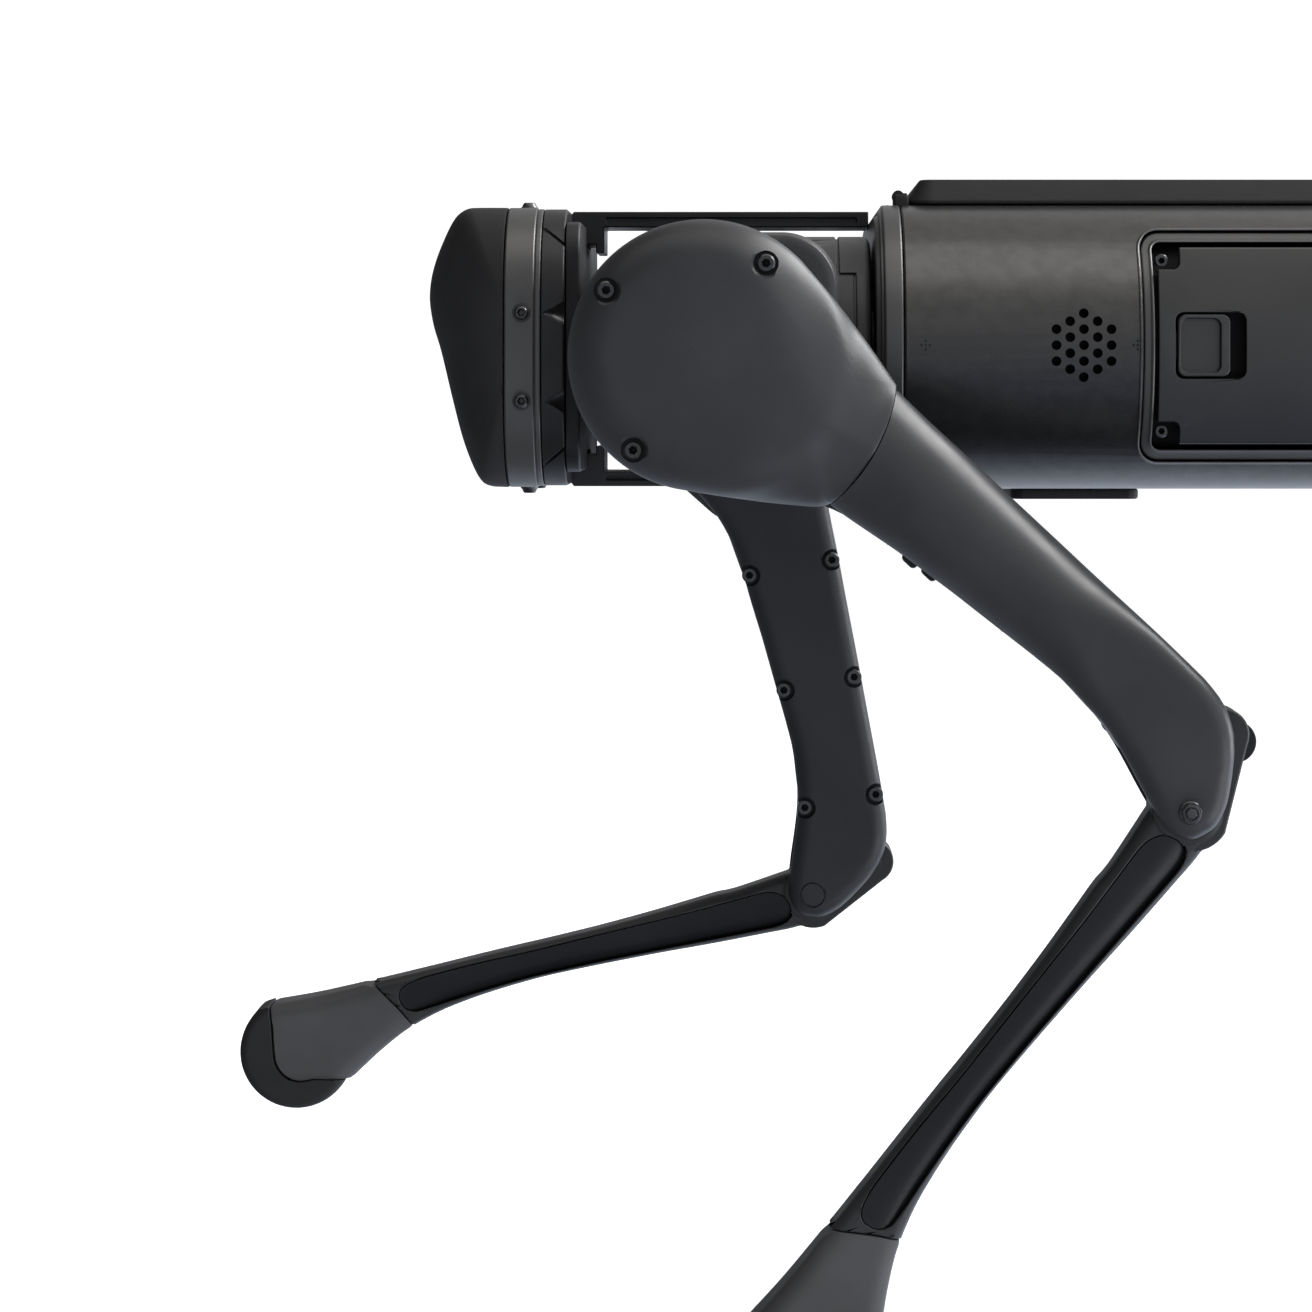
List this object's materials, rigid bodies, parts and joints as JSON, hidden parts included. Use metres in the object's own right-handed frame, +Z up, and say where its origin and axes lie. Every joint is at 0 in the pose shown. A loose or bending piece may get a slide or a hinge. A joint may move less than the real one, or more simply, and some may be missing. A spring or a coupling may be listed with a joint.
{
  "type": "quadruped robot dog",
  "caption": "Four-legged robot: tube trunk with side battery, blunt nose, round hip covers, slim folding legs with rod-driven knees and rubber-soled feet.",
  "frame": {"origin": "centre of the bounding box at floor level, at rest in the walking pose of the picture", "axes": "+X forward to the head, +Y to the robot's left, +Z up"},
  "size_m": [0.7161, 0.31, 0.3797],
  "materials": {
    "trunk_shell": "satin anodised",
    "top_deck": "fine texture",
    "belly_pad": "matte",
    "bulkhead": "satin anodised",
    "rail": "matte black anodised",
    "mount": "matte",
    "head_ring": "satin",
    "head_shell": "fine texture",
    "camera_window": "smooth tinted",
    "tail_cover": "fine texture",
    "hip_motors": "satin",
    "control_board": "solder mask",
    "battery_pack": "fine texture",
    "battery_latch": "matte",
    "hip_bracket": "satin anodised",
    "thigh_motor": "satin",
    "thigh_shell": "semi-gloss",
    "thigh_inner": "semi-gloss",
    "thigh_cap": "semi-gloss",
    "knee_crank": "turned",
    "knee_rod": "brushed",
    "calf": "satin",
    "ankle_boot": "satin",
    "foot_sole": "matte"
  },
  "bodies": {
    "trunk": {"trunk_shell": "trunk_shell", "top_deck": "top_deck", "belly_pad": "belly_pad", "front_bulkhead": "bulkhead", "rear_bulkhead": "bulkhead", "front_top_rail": "rail", "front_bottom_rail": "rail", "rear_top_rail": "rail", "rear_bottom_rail": "rail", "head_mount": "mount", "tail_mount": "mount", "head_ring": "head_ring", "head_shell": "head_shell", "camera_window": "camera_window", "tail_cover": "tail_cover", "front_hip_motors": "hip_motors", "rear_hip_motors": "hip_motors", "control_board": "control_board"},
    "battery": {"battery_pack": "battery_pack"},
    "latch": {"battery_latch": "battery_latch"},
    "hip_front_left": {"front_left_hip_bracket": "hip_bracket", "front_left_thigh_motor": "thigh_motor"},
    "thigh_front_left": {"front_left_thigh_shell": "thigh_shell", "front_left_thigh_inner": "thigh_inner", "front_left_thigh_cap": "thigh_cap"},
    "calf_front_left": {"front_left_calf": "calf", "front_left_ankle_boot": "ankle_boot", "front_left_foot_sole": "foot_sole"},
    "crank_front_left": {"front_left_knee_crank": "knee_crank"},
    "rod_front_left": {"front_left_knee_rod": "knee_rod"},
    "hip_front_right": {"front_right_hip_bracket": "hip_bracket", "front_right_thigh_motor": "thigh_motor"},
    "thigh_front_right": {"front_right_thigh_shell": "thigh_shell", "front_right_thigh_inner": "thigh_inner", "front_right_thigh_cap": "thigh_cap"},
    "calf_front_right": {"front_right_calf": "calf", "front_right_ankle_boot": "ankle_boot", "front_right_foot_sole": "foot_sole"},
    "crank_front_right": {"front_right_knee_crank": "knee_crank"},
    "rod_front_right": {"front_right_knee_rod": "knee_rod"},
    "hip_rear_left": {"rear_left_hip_bracket": "hip_bracket", "rear_left_thigh_motor": "thigh_motor"},
    "thigh_rear_left": {"rear_left_thigh_shell": "thigh_shell", "rear_left_thigh_inner": "thigh_inner", "rear_left_thigh_cap": "thigh_cap"},
    "calf_rear_left": {"rear_left_calf": "calf", "rear_left_ankle_boot": "ankle_boot", "rear_left_foot_sole": "foot_sole"},
    "crank_rear_left": {"rear_left_knee_crank": "knee_crank"},
    "rod_rear_left": {"rear_left_knee_rod": "knee_rod"},
    "hip_rear_right": {"rear_right_hip_bracket": "hip_bracket", "rear_right_thigh_motor": "thigh_motor"},
    "thigh_rear_right": {"rear_right_thigh_shell": "thigh_shell", "rear_right_thigh_inner": "thigh_inner", "rear_right_thigh_cap": "thigh_cap"},
    "calf_rear_right": {"rear_right_calf": "calf", "rear_right_ankle_boot": "ankle_boot", "rear_right_foot_sole": "foot_sole"},
    "crank_rear_right": {"rear_right_knee_crank": "knee_crank"},
    "rod_rear_right": {"rear_right_knee_rod": "knee_rod"}
  },
  "joints": [
    {"name": "front_left_abduction", "type": "hinge", "parent": "trunk", "child": "hip_front_left", "pos_m": [0.1828, 0.047, 0.32174], "axis": [1, 0, 0], "range_deg": [-46, 46]},
    {"name": "front_left_thigh_swing", "type": "hinge", "parent": "hip_front_left", "child": "thigh_front_left", "pos_m": [0.1828, 0.1308, 0.32174], "axis": [0, 1, 0], "range_deg": [-106, 192]},
    {"name": "front_left_knee", "type": "hinge", "parent": "thigh_front_left", "child": "calf_front_left", "pos_m": [0.03701, 0.1308, 0.18483], "axis": [0, 1, 0], "range_deg": [-70.2, 29.3]},
    {"name": "front_left_crank_turn", "type": "hinge", "parent": "thigh_front_left", "child": "crank_front_left", "pos_m": [0.1828, 0.1308, 0.32174], "axis": [0, 1, 0], "range_deg": [-70.7, 29.8]},
    {"name": "front_left_rod_turn", "type": "hinge", "parent": "crank_front_left", "child": "rod_front_left", "pos_m": [0.17199, 0.1308, 0.34432], "axis": [0, 1, 0], "range_deg": [-29.8, 70.7]},
    {"name": "front_right_abduction", "type": "hinge", "parent": "trunk", "child": "hip_front_right", "pos_m": [0.1828, -0.047, 0.32174], "axis": [1, 0, 0], "range_deg": [-46, 46]},
    {"name": "front_right_thigh_swing", "type": "hinge", "parent": "hip_front_right", "child": "thigh_front_right", "pos_m": [0.1828, -0.1308, 0.32174], "axis": [0, 1, 0], "range_deg": [-70, 228]},
    {"name": "front_right_knee", "type": "hinge", "parent": "thigh_front_right", "child": "calf_front_right", "pos_m": [0.14601, -0.1308, 0.12515], "axis": [0, 1, 0], "range_deg": [-68.6, 30.9]},
    {"name": "front_right_crank_turn", "type": "hinge", "parent": "thigh_front_right", "child": "crank_front_right", "pos_m": [0.1828, -0.1308, 0.32174], "axis": [0, 1, 0], "range_deg": [-69.1, 31.4]},
    {"name": "front_right_rod_turn", "type": "hinge", "parent": "crank_front_right", "child": "rod_front_right", "pos_m": [0.16042, -0.1308, 0.33296], "axis": [0, 1, 0], "range_deg": [-31.4, 69.1]},
    {"name": "rear_left_abduction", "type": "hinge", "parent": "trunk", "child": "hip_rear_left", "pos_m": [-0.1832, 0.047, 0.32174], "axis": [1, 0, 0], "range_deg": [-46, 46]},
    {"name": "rear_left_thigh_swing", "type": "hinge", "parent": "hip_rear_left", "child": "thigh_rear_left", "pos_m": [-0.1832, 0.1308, 0.32174], "axis": [0, 1, 0], "range_deg": [-56, 185]},
    {"name": "rear_left_knee", "type": "hinge", "parent": "thigh_rear_left", "child": "calf_rear_left", "pos_m": [-0.34337, 0.1308, 0.20196], "axis": [0, 1, 0], "range_deg": [-73.5, 25.9]},
    {"name": "rear_left_crank_turn", "type": "hinge", "parent": "thigh_rear_left", "child": "crank_rear_left", "pos_m": [-0.1832, 0.1308, 0.32174], "axis": [0, 1, 0], "range_deg": [-74, 26.4]},
    {"name": "rear_left_rod_turn", "type": "hinge", "parent": "crank_rear_left", "child": "rod_rear_left", "pos_m": [-0.19001, 0.1308, 0.34583], "axis": [0, 1, 0], "range_deg": [-26.4, 74]},
    {"name": "rear_right_abduction", "type": "hinge", "parent": "trunk", "child": "hip_rear_right", "pos_m": [-0.1832, -0.047, 0.32174], "axis": [1, 0, 0], "range_deg": [-46, 46]},
    {"name": "rear_right_thigh_swing", "type": "hinge", "parent": "hip_rear_right", "child": "thigh_rear_right", "pos_m": [-0.1832, -0.1308, 0.32174], "axis": [0, 1, 0], "range_deg": [-40, 218]},
    {"name": "rear_right_knee", "type": "hinge", "parent": "thigh_rear_right", "child": "calf_rear_right", "pos_m": [-0.253, -0.1308, 0.13432], "axis": [0, 1, 0], "range_deg": [-76, 23.4]},
    {"name": "rear_right_crank_turn", "type": "hinge", "parent": "thigh_rear_right", "child": "crank_rear_right", "pos_m": [-0.1832, -0.1308, 0.32174], "axis": [0, 1, 0], "range_deg": [-76.5, 23.9]},
    {"name": "rear_right_rod_turn", "type": "hinge", "parent": "crank_rear_right", "child": "rod_rear_right", "pos_m": [-0.20123, -0.1308, 0.33911], "axis": [0, 1, 0], "range_deg": [-23.9, 76.5]},
    {"name": "battery_slide", "type": "slide", "parent": "trunk", "child": "battery", "axis": [0, 1, 0], "range_m": [0, 0.14]},
    {"name": "latch_slide", "type": "slide", "parent": "battery", "child": "latch", "axis": [-1, 0, 0], "range_m": [0, 0.0045], "stiffness_N_per_m": 300, "springref_m": -0.003}
  ],
  "couplings": [
    {"joint": "front_left_crank_turn", "follows": "front_left_knee", "ratio": 1},
    {"joint": "front_left_rod_turn", "follows": "front_left_knee", "ratio": -1},
    {"joint": "front_right_crank_turn", "follows": "front_right_knee", "ratio": 1},
    {"joint": "front_right_rod_turn", "follows": "front_right_knee", "ratio": -1},
    {"joint": "rear_left_crank_turn", "follows": "rear_left_knee", "ratio": 1},
    {"joint": "rear_left_rod_turn", "follows": "rear_left_knee", "ratio": -1},
    {"joint": "rear_right_crank_turn", "follows": "rear_right_knee", "ratio": 1},
    {"joint": "rear_right_rod_turn", "follows": "rear_right_knee", "ratio": -1}
  ]
}
